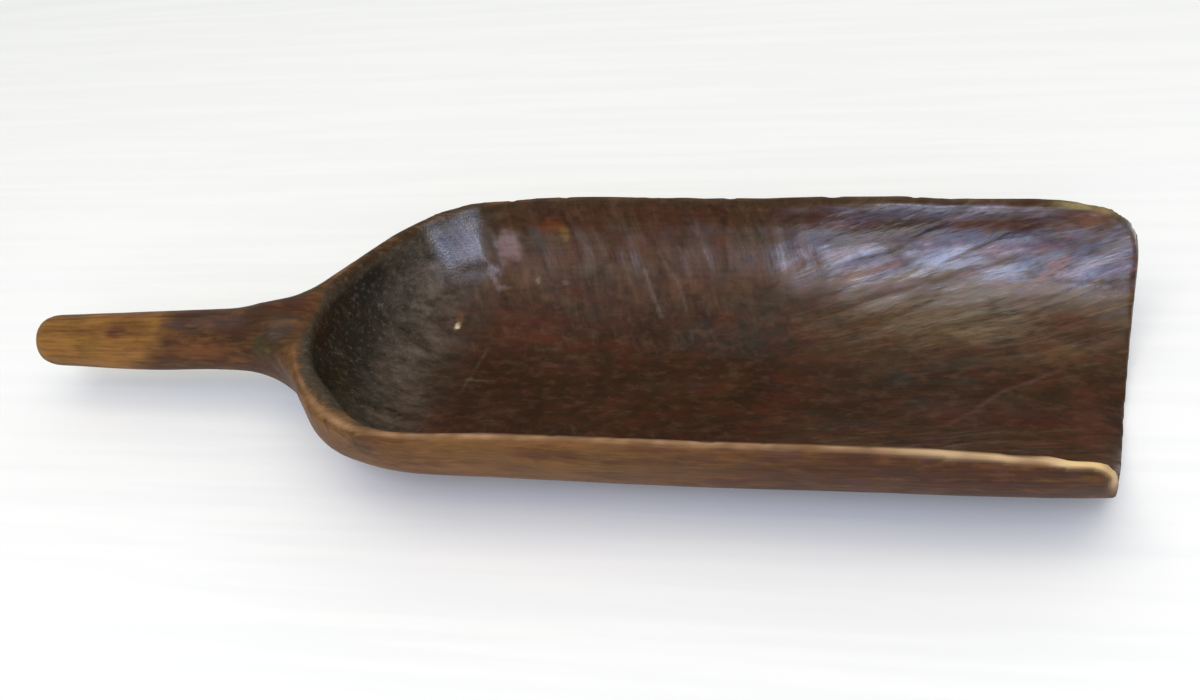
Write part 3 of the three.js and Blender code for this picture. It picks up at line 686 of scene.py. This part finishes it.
scoopStainsAndSheen = {
    "patches": {  # middle, half lengths, colour, strength
        "knot": ((-93, -6.5, 44), (7, 2.6, 3.5), "#3a1f1a", 0.85),
        "knotRing": ((-91, -6, 44), (14, 5, 6), "#6e4220", 0.45),
        # painted reflection of the sky along the top of the handle
        "paintedSkySheenOnHandle": ((-50, -4, 48), (24, 4.5, 3.5), "#4a3631", 0.75),
        "orangeStreak": ((-52, -12.5, 39), (20, 4, 4), "#7a4a26", 0.45),
        "oliveSpot": ((-20, -15, 44), (7, 5, 5), "#37331a", 0.75),
        # painted reflection of the sky in the hollow of the neck
        "paintedSkySheenOnNeck": ((-12, -10, 50), (9, 8, 4), "#40372f", 0.75),
        "darkSpot": ((44.5, -74, 46), (7, 6, 6), "#3c2d20", 0.6),
        "darkSpotRight": ((245, -77, 42), (9, 5, 5), "#40291f", 0.7),
        "orangePatch": ((89, 70, 45), (7, 3.5, 4.5), "#7c4420", 0.6),
        "goldPatch": ((94, 69, 41), (2.6, 3, 5), "#84642c", 0.55),
        "tealSpot": ((81, 67, 38), (4, 4, 6), "#3c4844", 0.25),
        "redBand": ((284, 69, 43.6), (30, 8, 2.8), "#4d2d22", 0.55),
        "brownCorner": ((317, 69, 46.5), (11, 8, 4.6), "#7c5240", 0.6),
        # painted sheen: the window's bluish reflection along the top of the far wall
        "paintedSheenBandFarWall": ((258, 70, 49), (46, 8, 4), "#625e6a", 0.5),
        # painted highlights on two facets of the far wall
        "paintedHighlightPinkFacet": ((68, 66, 36), (6, 7, 8), "#957874", 0.56),
        "paintedHighlightBlueFacet": ((46, 61, 42), (13, 9, 13), "#585c74", 0.4),
        # painted sheen: the overhead light's olive reflection low on the far wall
        "paintedSheenOliveBand": ((262, 38, 15), (48, 10, 6), "#5c4a2c", 0.45),
        "tanSpots": ((271, 34, 14), (13, 5, 3), "#7d6242", 0.32),
        "goldRight": ((308, 27, 10), (14, 5, 3), "#6a4c26", 0.32),
        "oliveBack": ((12.7, -22.6, 31.7), (9, 9, 13), "#2c270e", 0.6),
        "greenSpot": ((244, 10, 9), (7, 5, 3), "#1f2620", 0.6),
        "greenSpotRight": ((268, 10, 9), (9, 4, 3), "#25291a", 0.6),
        "slateFloor": ((170, 30, 13), (28, 10, 6), "#2a2824", 0.5),
        "redFloor": ((78, 34, 14), (24, 12, 6), "#5a2b1a", 0.35),
        "redFloorRight": ((278, -10, 9), (30, 10, 4), "#4f2519", 0.35),
        "redMouth": ((316, -8, 9), (10, 26, 6), "#59301f", 0.5),
        "brownBevel": ((38, -64, 51), (9, 5, 4), "#75522f", 0.7),
        "fleckHalo": ((48, 36.5, 18.2), (3, 2.4, 2.4), "#6e4420", 0.8),
        "fleck": ((47.3, 34, 16), (1.5, 1.9, 1.9), "#e0c79a", 1.0),
        "paleSpeck": ((82, 55, 25), (1.3, 1.8, 1.8), "#8d8068", 0.5),
        "paleSpeckLeft": ((66.5, 52.5, 23), (3.2, 1.2, 1.2), "#857468", 0.3),
        "paleSpeckRight": ((95, 54.5, 24.3), (2, 1.5, 1.5), "#7a706a", 0.3),
    },
    "scratches": [  # points that each line runs through, width, colour, strength
        (((56.3, 62.7, 32.7), (60, 57, 27), (63.9, 51.9, 22.5)), 1.8, "#94868a", 0.5),
        (((130.8, 59.3, 28.3), (135.3, 49.8, 21.3), (140, 40.4, 16.5)), 1.3, "#8a7c74", 0.32),
        (((136.9, 64.4, 33.8), (147.1, 53.4, 23.5), (150.7, 43.1, 17.7)), 1.3, "#857770", 0.22),
        (((273.2, -5.4, 8.7), (282.2, 4.5, 8.3), (294.4, 12, 8), (307, 19.9, 8.2)), 1.4, "#84665a", 0.2),
        (((262.3, -15.9, 9.8), (269.9, -9, 9)), 1.4, "#7e6456", 0.22),
        (((57.5, -1.6, 9.2), (63.3, 24.4, 11.5)), 1.3, "#7a6a58", 0.3),
        (((57.7, 5.5, 9.3), (71.2, 4.3, 9.1)), 1.2, "#7a6a58", 0.3),
    ],
    "scratchMiddle": 0.7,  # strength of a scratch before noise breaks it up
    "dull": ("redBand", "brownCorner"),  # patches on the far wall that the rubbing missed
}


def fromLine(places, start, end):  # how far each point lies from the line between two places
    start, end = np.array(start), np.array(end)
    reach = np.clip((places - start) @ (end - start) / ((end - start) @ (end - start)), 0, 1)
    return np.linalg.norm(places - start - reach[:, None] * (end - start), axis=1)


def layPaint(paint, colour, share):  # adds a colour over what is there, with its share of cover
    share = np.clip(share, 0, 1)
    weight = share / np.maximum(share + paint[:, 3], tiny)
    paint[:, :3] += (np.array(linear(colour)[:3]) - paint[:, :3]) * weight[:, None]
    paint[:, 3] = 1 - (1 - paint[:, 3]) * (1 - share)


def paintStainsAndSheen(points, along):
    places = placesOn(points, along)
    ragged = lumpsAt(points, "patchEdge") + lumpsAt(points, "finePatchEdge")
    paint = np.zeros((len(points), 4))
    for middle, halves, colour, strength in scoopStainsAndSheen["patches"].values():
        distance = howFar(places, middle, halves) + ragged
        layPaint(paint, colour, strength * fadeOut(distance, "patch"))
    for path, width, colour, strength in scoopStainsAndSheen["scratches"]:
        distance = np.min([fromLine(places, a, b) for a, b in zip(path, path[1:])], axis=0) / width
        broken = scoopStainsAndSheen["scratchMiddle"] + ragged
        layPaint(paint, colour, strength * fadeOut(distance, "scratch") * broken)
    return paint


def setMark(mesh, name, kind, field, values):  # one value for each point, for the material to read
    data = mesh.attributes.new(name, kind, "POINT").data
    data.foreach_set(field, values.astype(np.float32).ravel())


def makeScoop():
    form = scoopForm
    piece = fineCopy("scoop", "carvedScoop", form["grid"])
    mesh = piece.data
    links = readAll(mesh.edges, "vertices", 2, int)
    points = readAll(mesh.vertices, "co", 3) / mm
    points = relax(points, links, form["gridRounds"], np.ones(len(points)))
    low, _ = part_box("scoop")
    hollowBack = low[0] / mm + form["handleLength"]
    points = wearEdges(points, links, hollowBack, form)
    writePoints(mesh, points)
    print("scoop: fine surface of", len(mesh.polygons), "faces")

    # "at" holds what is known of each point: where it lies, and how much it belongs to each part.
    at = SimpleNamespace(along=points[:, 0] - hollowBack)
    at.normals = readAll(mesh.vertex_normals, "vector", 3)
    at.rimTop = rimLine(at.along, points[:, 1], points[:, 2], form)
    at.facing = facingHollow(points, at, form)
    points, at.facets = swell(points, at, form)
    findParts(points, links, at, form)
    points = carve(points, hollowBack, at, form)
    writePoints(mesh, points)
    print("scoop: carved")

    findWear(points, links, at, form)
    for name, values in markParts(points, at, form).items():
        setMark(mesh, name, "FLOAT", "value", values)
    for name in ("gouge", "scraper"):  # where a point lies across and along these cuts, in metres
        across, down = at.frames[name]
        place = np.stack([across, down, np.zeros(len(across))], 1) * mm
        setMark(mesh, name + "Place", "FLOAT_VECTOR", "vector", place)
    # stains, with painted sheen and highlights among the patches
    paint = paintStainsAndSheen(points, at.along)
    setMark(mesh, "patches", "FLOAT_COLOR", "color", paint)
    setMark(mesh, "patchShare", "FLOAT", "value", paint[:, 3])
    print("scoop: worn and stained")
    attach(piece, "root")
    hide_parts("scoop")
    return piece


# Materials


def makeMaterial(name):
    material = bpy.data.materials.new(name)
    material.use_nodes = True
    material.node_tree.nodes.clear()
    return material


def addNode(material, kind, settings=(), links=()):  # one node, its settings and what feeds it
    node = material.node_tree.nodes.new(kind)
    for key, value in dict(settings).items():
        if isinstance(key, str) and hasattr(node, key):
            setattr(node, key, value)
        else:
            node.inputs[key].default_value = value
    for key, source in dict(links).items():
        material.node_tree.links.new(source, node.inputs[key])
    return node


times = {"operation": "MULTIPLY"}


def addClouds(material, place, size, finesse):  # noise in lumps of a size in millimetres
    scale = [1 / (s * mm) for s in size]
    stretched = addNode(material, "ShaderNodeVectorMath", {**times, 1: scale}, {0: place}).outputs[0]
    clouds = addNode(material, "ShaderNodeTexNoise", {"Scale": 1, **finesse}, {"Vector": stretched})
    return clouds.outputs["Fac"]


# Old carved walnut, oiled and dirtied by years of use: a dark umber ground with reddish and olive
# clouds, fine lines along the grain, a half gloss where hands and flour have rubbed it, edges worn
# back to pale wood with a painted highlight along them, painted sheen on the far wall, painted shade
# low on the wall, and a handle end that stayed honey brown. Walnut's pores and the scratches of the
# scraper are 0.1 to 0.3 mm wide, too fine to show, so the grain is drawn about 2 mm wide, the streaks
# of the cuts 2 to 7 mm and the relief about 1 to 7 mm.

oldWalnut = {
    "finish": {"Specular IOR Level": 0.12, "Coat Roughness": 0.27, "Coat IOR": 1.6},
    "outside": "#6a4826",
    "colourNoise": {"Detail": 4, "Roughness": 0.6},
    "reliefNoise": {"Detail": 3, "Roughness": 0.55},
    "glossNoise": {"Detail": 3, "Roughness": 0.5},
    "layers": [
        # name, colour, mark, then lump size along, across and up or across and along the cuts,
        # noise from and to, strength, and the cuts that it follows, if not the grain
        ("trough wall", "#4c331d", "inside"),
        # painted shade lower down the trough wall
        ("painted shade low on the wall", "#361f10", "wallLow"),
        ("trough floor", "#311c0a", "onFloor"),
        ("closed end", "#1f1a10", "closedEnd"),
        ("handle end", "#865c29", "handleEnd"),
        ("handle and neck", "#3d2717", "handleBrown"),
        ("outside by the mouth", "#432714", "outerRight"),
        ("honey clouds", "#8b5d2c", "outerLeft", (38, 9, 9), (0.5, 0.68), 0.45),
        ("brown clouds", "#4a2c16", "outer", (32, 8, 8), (0.5, 0.66), 0.6),
        ("reddish clouds", "#4d2314", "outOfEnd", (30, 16, 16), (0.48, 0.66), 0.5),
        ("olive clouds", "#35300f", None, (22, 13, 13), (0.52, 0.7), 0.4),
        ("black clouds", "#15100b", "inside", (26, 12, 12), (0.52, 0.75), 0.6),
        ("slate clouds", "#26271f", "inside", (18, 9, 9), (0.54, 0.7), 0.5),
        ("rust clouds", "#562b1a", "notEnd", (17, 9, 9), (0.54, 0.72), 0.35),
        # painted sheen: slate, pink and violet strokes that stand for the window's reflection on the far
        # wall by the mouth
        ("slate painted sheen strokes", "#505c7a", "bloom", (7, 26, 1), (0.5, 0.62), 0.6, "scraperPlace"),
        ("pink painted sheen strokes", "#8a5a58", "bloom", (6, 20, 1), (0.53, 0.66), 0.6, "scraperPlace"),
        ("violet painted sheen", "#5c5072", "bloom", (20, 9, 9), (0.45, 0.65), 0.4),
        ("dark strokes", "#2a1d16", "scraperWork", (5, 34, 1), (0.5, 0.68), 0.4, "scraperPlace"),
        ("pink streaks", "#6f4d38", "gougeHigh", (5, 24, 1), (0.46, 0.68), 0.32, "gougePlace"),
        ("grey bloom", "#6d5f51", "endHaze", (13, 7, 7), (0.28, 0.7), 1.0),
        ("violet mottle", "#4c3138", "outerRight", (9, 4, 4), (0.5, 0.66), 0.4),
        ("dirt between cuts", "#1e140d", "ridges", (9, 6, 6), (0.35, 0.6), 1.0),
        ("bevel", "#40372a", "bevel"),
        ("far rim", "#3b2a1a", "farRimTop"),
        ("pale far corner", "#948a5c", "farCorner"),
        ("patches", None, "patchShare"),
        ("red flecks", "#5e2a17", "notEnd", (14, 6, 6), (0.52, 0.72), 0.34),
        ("grey flecks", "#77705f", "closedEnd", (2.6, 2.2, 2.2), (0.54, 0.76), 0.42),
        ("fine dirt", "#1c120b", "inside", (5, 3, 3), (0.5, 0.66), 0.35),
        ("fine wear", "#5c4231", "notEnd", (7, 4.5, 4.5), (0.5, 0.68), 0.33),
        ("cut streaks", "#7a6148", "gougeWork", (4.5, 13, 1), (0.54, 0.74), 0.22, "gougePlace"),
        ("slant streaks", "#7d6a4c", "scraperWork", (2.4, 20, 1), (0.52, 0.74), 0.4, "scraperPlace"),
        ("dark grain", "#23140a", "outer", (30, 1.8, 1.8), (0.48, 0.68), 0.45),
        ("dark grain inside", "#1d120a", "inside", (26, 2.6, 2.6), (0.5, 0.7), 0.3),
        ("ochre mottle", "#7d5028", "outer", (13, 5, 5), (0.5, 0.7), 0.4),
        ("light grain", "#9c6c36", "outerLeft", (24, 1.8, 1.8), (0.53, 0.72), 0.38),
        # wear on the edges, with a painted highlight laid along the crest
        ("worn edge and painted highlight", "#a3805e", "worn"),
        ("pale edge and painted highlight", "#d2b284", "paleEdge"),
        ("gold corner and painted highlight", "#ecc87c", "goldCorner"),
    ],
    "relief": [  # mark, lump size, height in millimetres, and the cuts that it follows
        ("outer", (22, 0.9, 0.9), 0.16),
        ("outer", (3.2, 2.2, 2.2), 0.2),
        ("gougeWork", (6.5, 24, 1), 0.34, "gougePlace"),
        ("scraperWork", (7, 30, 1), 1.0, "scraperPlace"),
        ("scraperWork", (2.2, 14, 1), 0.12, "scraperPlace"),
        ("closedEnd", (1.1, 1.1, 1.1), 0.5),
    ],
    "glossStreaks": [((7, 40, 1), "gougePlace"), ((6, 36, 1), "scraperPlace")],  # lump size, cuts
    "glossRange": {"From Min": 0.36, "From Max": 0.58, "To Min": 0.3, "To Max": 1.15},
}


def makeWalnut():
    wood = makeMaterial("oldOiledWalnut")
    ways = {"grain": addNode(wood, "ShaderNodeTexCoord").outputs["Object"]}
    for name in ("gougePlace", "scraperPlace"):
        ways[name] = addNode(wood, "ShaderNodeAttribute", {"attribute_name": name}).outputs["Vector"]
    needed = [mark for _, _, mark, *_ in oldWalnut["layers"] if mark]
    needed += [mark for mark, *_ in oldWalnut["relief"]] + ["mouthWork", "polish", "roughness"]
    marks = {}
    for name in dict.fromkeys(needed):
        marks[name] = addNode(wood, "ShaderNodeAttribute", {"attribute_name": name}).outputs["Fac"]
    paint = addNode(wood, "ShaderNodeAttribute", {"attribute_name": "patches"}).outputs["Color"]

    ground = addNode(wood, "ShaderNodeRGB")
    colour = ground.outputs[0]
    colour.default_value = linear(oldWalnut["outside"])
    for name, layerColour, mark, *pattern in oldWalnut["layers"]:
        share = marks.get(mark)
        if pattern:
            size, (low, high), strength, *way = pattern
            clouds = addClouds(wood, ways[way[0] if way else "grain"], size, oldWalnut["colourNoise"])
            limits = {"From Min": low, "From Max": high, "To Max": strength}
            cover = addNode(wood, "ShaderNodeMapRange", limits, {"Value": clouds}).outputs[0]
            if share:
                cover = addNode(wood, "ShaderNodeMath", times, {0: cover, 1: share}).outputs[0]
            share = cover
        mix = addNode(wood, "ShaderNodeMix", {"data_type": "RGBA", "label": name}, {0: share, 6: colour})
        if layerColour:
            mix.inputs[7].default_value = linear(layerColour)
        else:
            wood.node_tree.links.new(paint, mix.inputs[7])
        colour = mix.outputs[2]

    level = None
    for mark, size, height, *way in oldWalnut["relief"]:
        bumps = addClouds(wood, ways[way[0] if way else "grain"], size, oldWalnut["reliefNoise"])
        bumps = addNode(wood, "ShaderNodeMath", {**times, 1: height}, {0: bumps}).outputs[0]
        bumps = addNode(wood, "ShaderNodeMath", times, {0: bumps, 1: marks[mark]}).outputs[0]
        if level:
            bumps = addNode(wood, "ShaderNodeMath", {"operation": "ADD"}, {0: level, 1: bumps}).outputs[0]
        level = bumps
    bump = addNode(wood, "ShaderNodeBump", {"Strength": 1, "Distance": mm}, {"Height": level}).outputs[0]

    streaks = []
    for size, way in oldWalnut["glossStreaks"]:
        clouds = addClouds(wood, ways[way], size, oldWalnut["glossNoise"])
        streak = addNode(wood, "ShaderNodeMapRange", oldWalnut["glossRange"], {"Value": clouds})
        streaks.append(streak.outputs[0])
    streak = addNode(wood, "ShaderNodeMix", {}, {0: marks["mouthWork"], 2: streaks[0], 3: streaks[1]})
    gloss = addNode(wood, "ShaderNodeMath", times, {0: marks["polish"], 1: streak.outputs[0]}).outputs[0]
    shader = addNode(wood, "ShaderNodeBsdfPrincipled", oldWalnut["finish"], {
        "Base Color": colour, "Roughness": marks["roughness"], "Normal": bump, "Coat Weight": gloss,
        "Coat Normal": bump})
    addNode(wood, "ShaderNodeOutputMaterial", {}, {"Surface": shader.outputs[0]})
    print("scoop: oiled walnut")
    return wood


# A board painted matt white with a wide brush: it gives no shine back, and faint ribs, a shade
# warmer and lighter than the rest, show where the brush ran

paintedBoard = {
    "halfSide": 3,  # metres
    "roughness": 0.9,
    "ribSize": (1000 / 6, 1000 / 110, 1000),
    "ribTurn": -16,  # degrees
    "ribDetail": 2,
    "ribRange": {"From Min": 0.4, "From Max": 0.6},
    "ground": "#f2f1ec",
    "rib": "#f5f4ee",
}


def makeFloor():
    sheet = bmesh.new()
    bmesh.ops.create_grid(sheet, x_segments=1, y_segments=1, size=paintedBoard["halfSide"])
    mesh = bpy.data.meshes.new("floor")
    sheet.to_mesh(mesh)
    sheet.free()
    floor = addObject("floor", mesh)
    board = makeMaterial("whitePaintedBoard")
    place = addNode(board, "ShaderNodeTexCoord").outputs["Object"]
    turn = {"Rotation": (0, 0, radians(paintedBoard["ribTurn"])),
            "Scale": [1 / (s * mm) for s in paintedBoard["ribSize"]]}
    turned = addNode(board, "ShaderNodeMapping", turn, {"Vector": place}).outputs[0]
    ribs = addNode(board, "ShaderNodeTexNoise", {"Scale": 1, "Detail": paintedBoard["ribDetail"]},
                   {"Vector": turned}).outputs["Fac"]
    share = addNode(board, "ShaderNodeMapRange", paintedBoard["ribRange"], {"Value": ribs})
    tints = {6: linear(paintedBoard["ground"]), 7: linear(paintedBoard["rib"])}
    tint = addNode(board, "ShaderNodeMix", {"data_type": "RGBA", **tints}, {0: share.outputs[0]})
    shader = addNode(board, "ShaderNodeBsdfPrincipled", {"Roughness": paintedBoard["roughness"]},
                     {"Base Color": tint.outputs[2]})
    addNode(board, "ShaderNodeOutputMaterial", {}, {"Surface": shader.outputs[0]})
    mesh.materials.append(board)
    print("floor: white board")


# Light: a bright, cloudy room with windows on the near side. Lengths are in metres.

studio = {
    "skyStrength": 0.68,
    "skyColour": "#eff2ee",
    "lamps": {  # place, aim, size, watts, colour
        "skylight": ((0.05, -0.3, 1.4), (0.05, 0, 0), (1.6, 0.9), 8, "#fff4e4"),
        "windowInFront": ((0.25, -2.32, 2.59), (0.15, 0.06, 0.03), (0.8, 1.5), 47, "#ccd9ff"),
        "sideWindow": ((0.9, -2.6, 1.5), (0.1, 0.06, 0.04), (1.0, 0.8), 13, "#ccd6ff"),
        "lowWindow": ((0.0, -3.1, 0.7), (0.1, 0.06, 0.04), (1.8, 0.6), 12, "#c8dcf4"),
    },
}


def addLight():
    world = bpy.data.worlds.new("studioSky")
    world.use_nodes = True
    sky = world.node_tree.nodes["Background"]
    sky.inputs["Color"].default_value = linear(studio["skyColour"])
    sky.inputs["Strength"].default_value = studio["skyStrength"]
    scene.world = world
    for name, (place, aim, size, watts, colour) in studio["lamps"].items():
        data = bpy.data.lights.new(name, "AREA")
        data.shape = "RECTANGLE"
        data.size, data.size_y = size
        data.energy = watts
        data.color = linear(colour)[:3]
        lamp = addObject(name, data)
        lamp.location = place
        lamp.rotation_euler = (Vector(aim) - Vector(place)).to_track_quat("-Z", "Y").to_euler()
    print("light: sky and", len(studio["lamps"]), "lamps")


addCamera(photoView)
scoop = makeScoop()
scoop.data.materials.append(makeWalnut())
makeFloor()
addLight()
scene.view_settings.view_transform = "Standard"
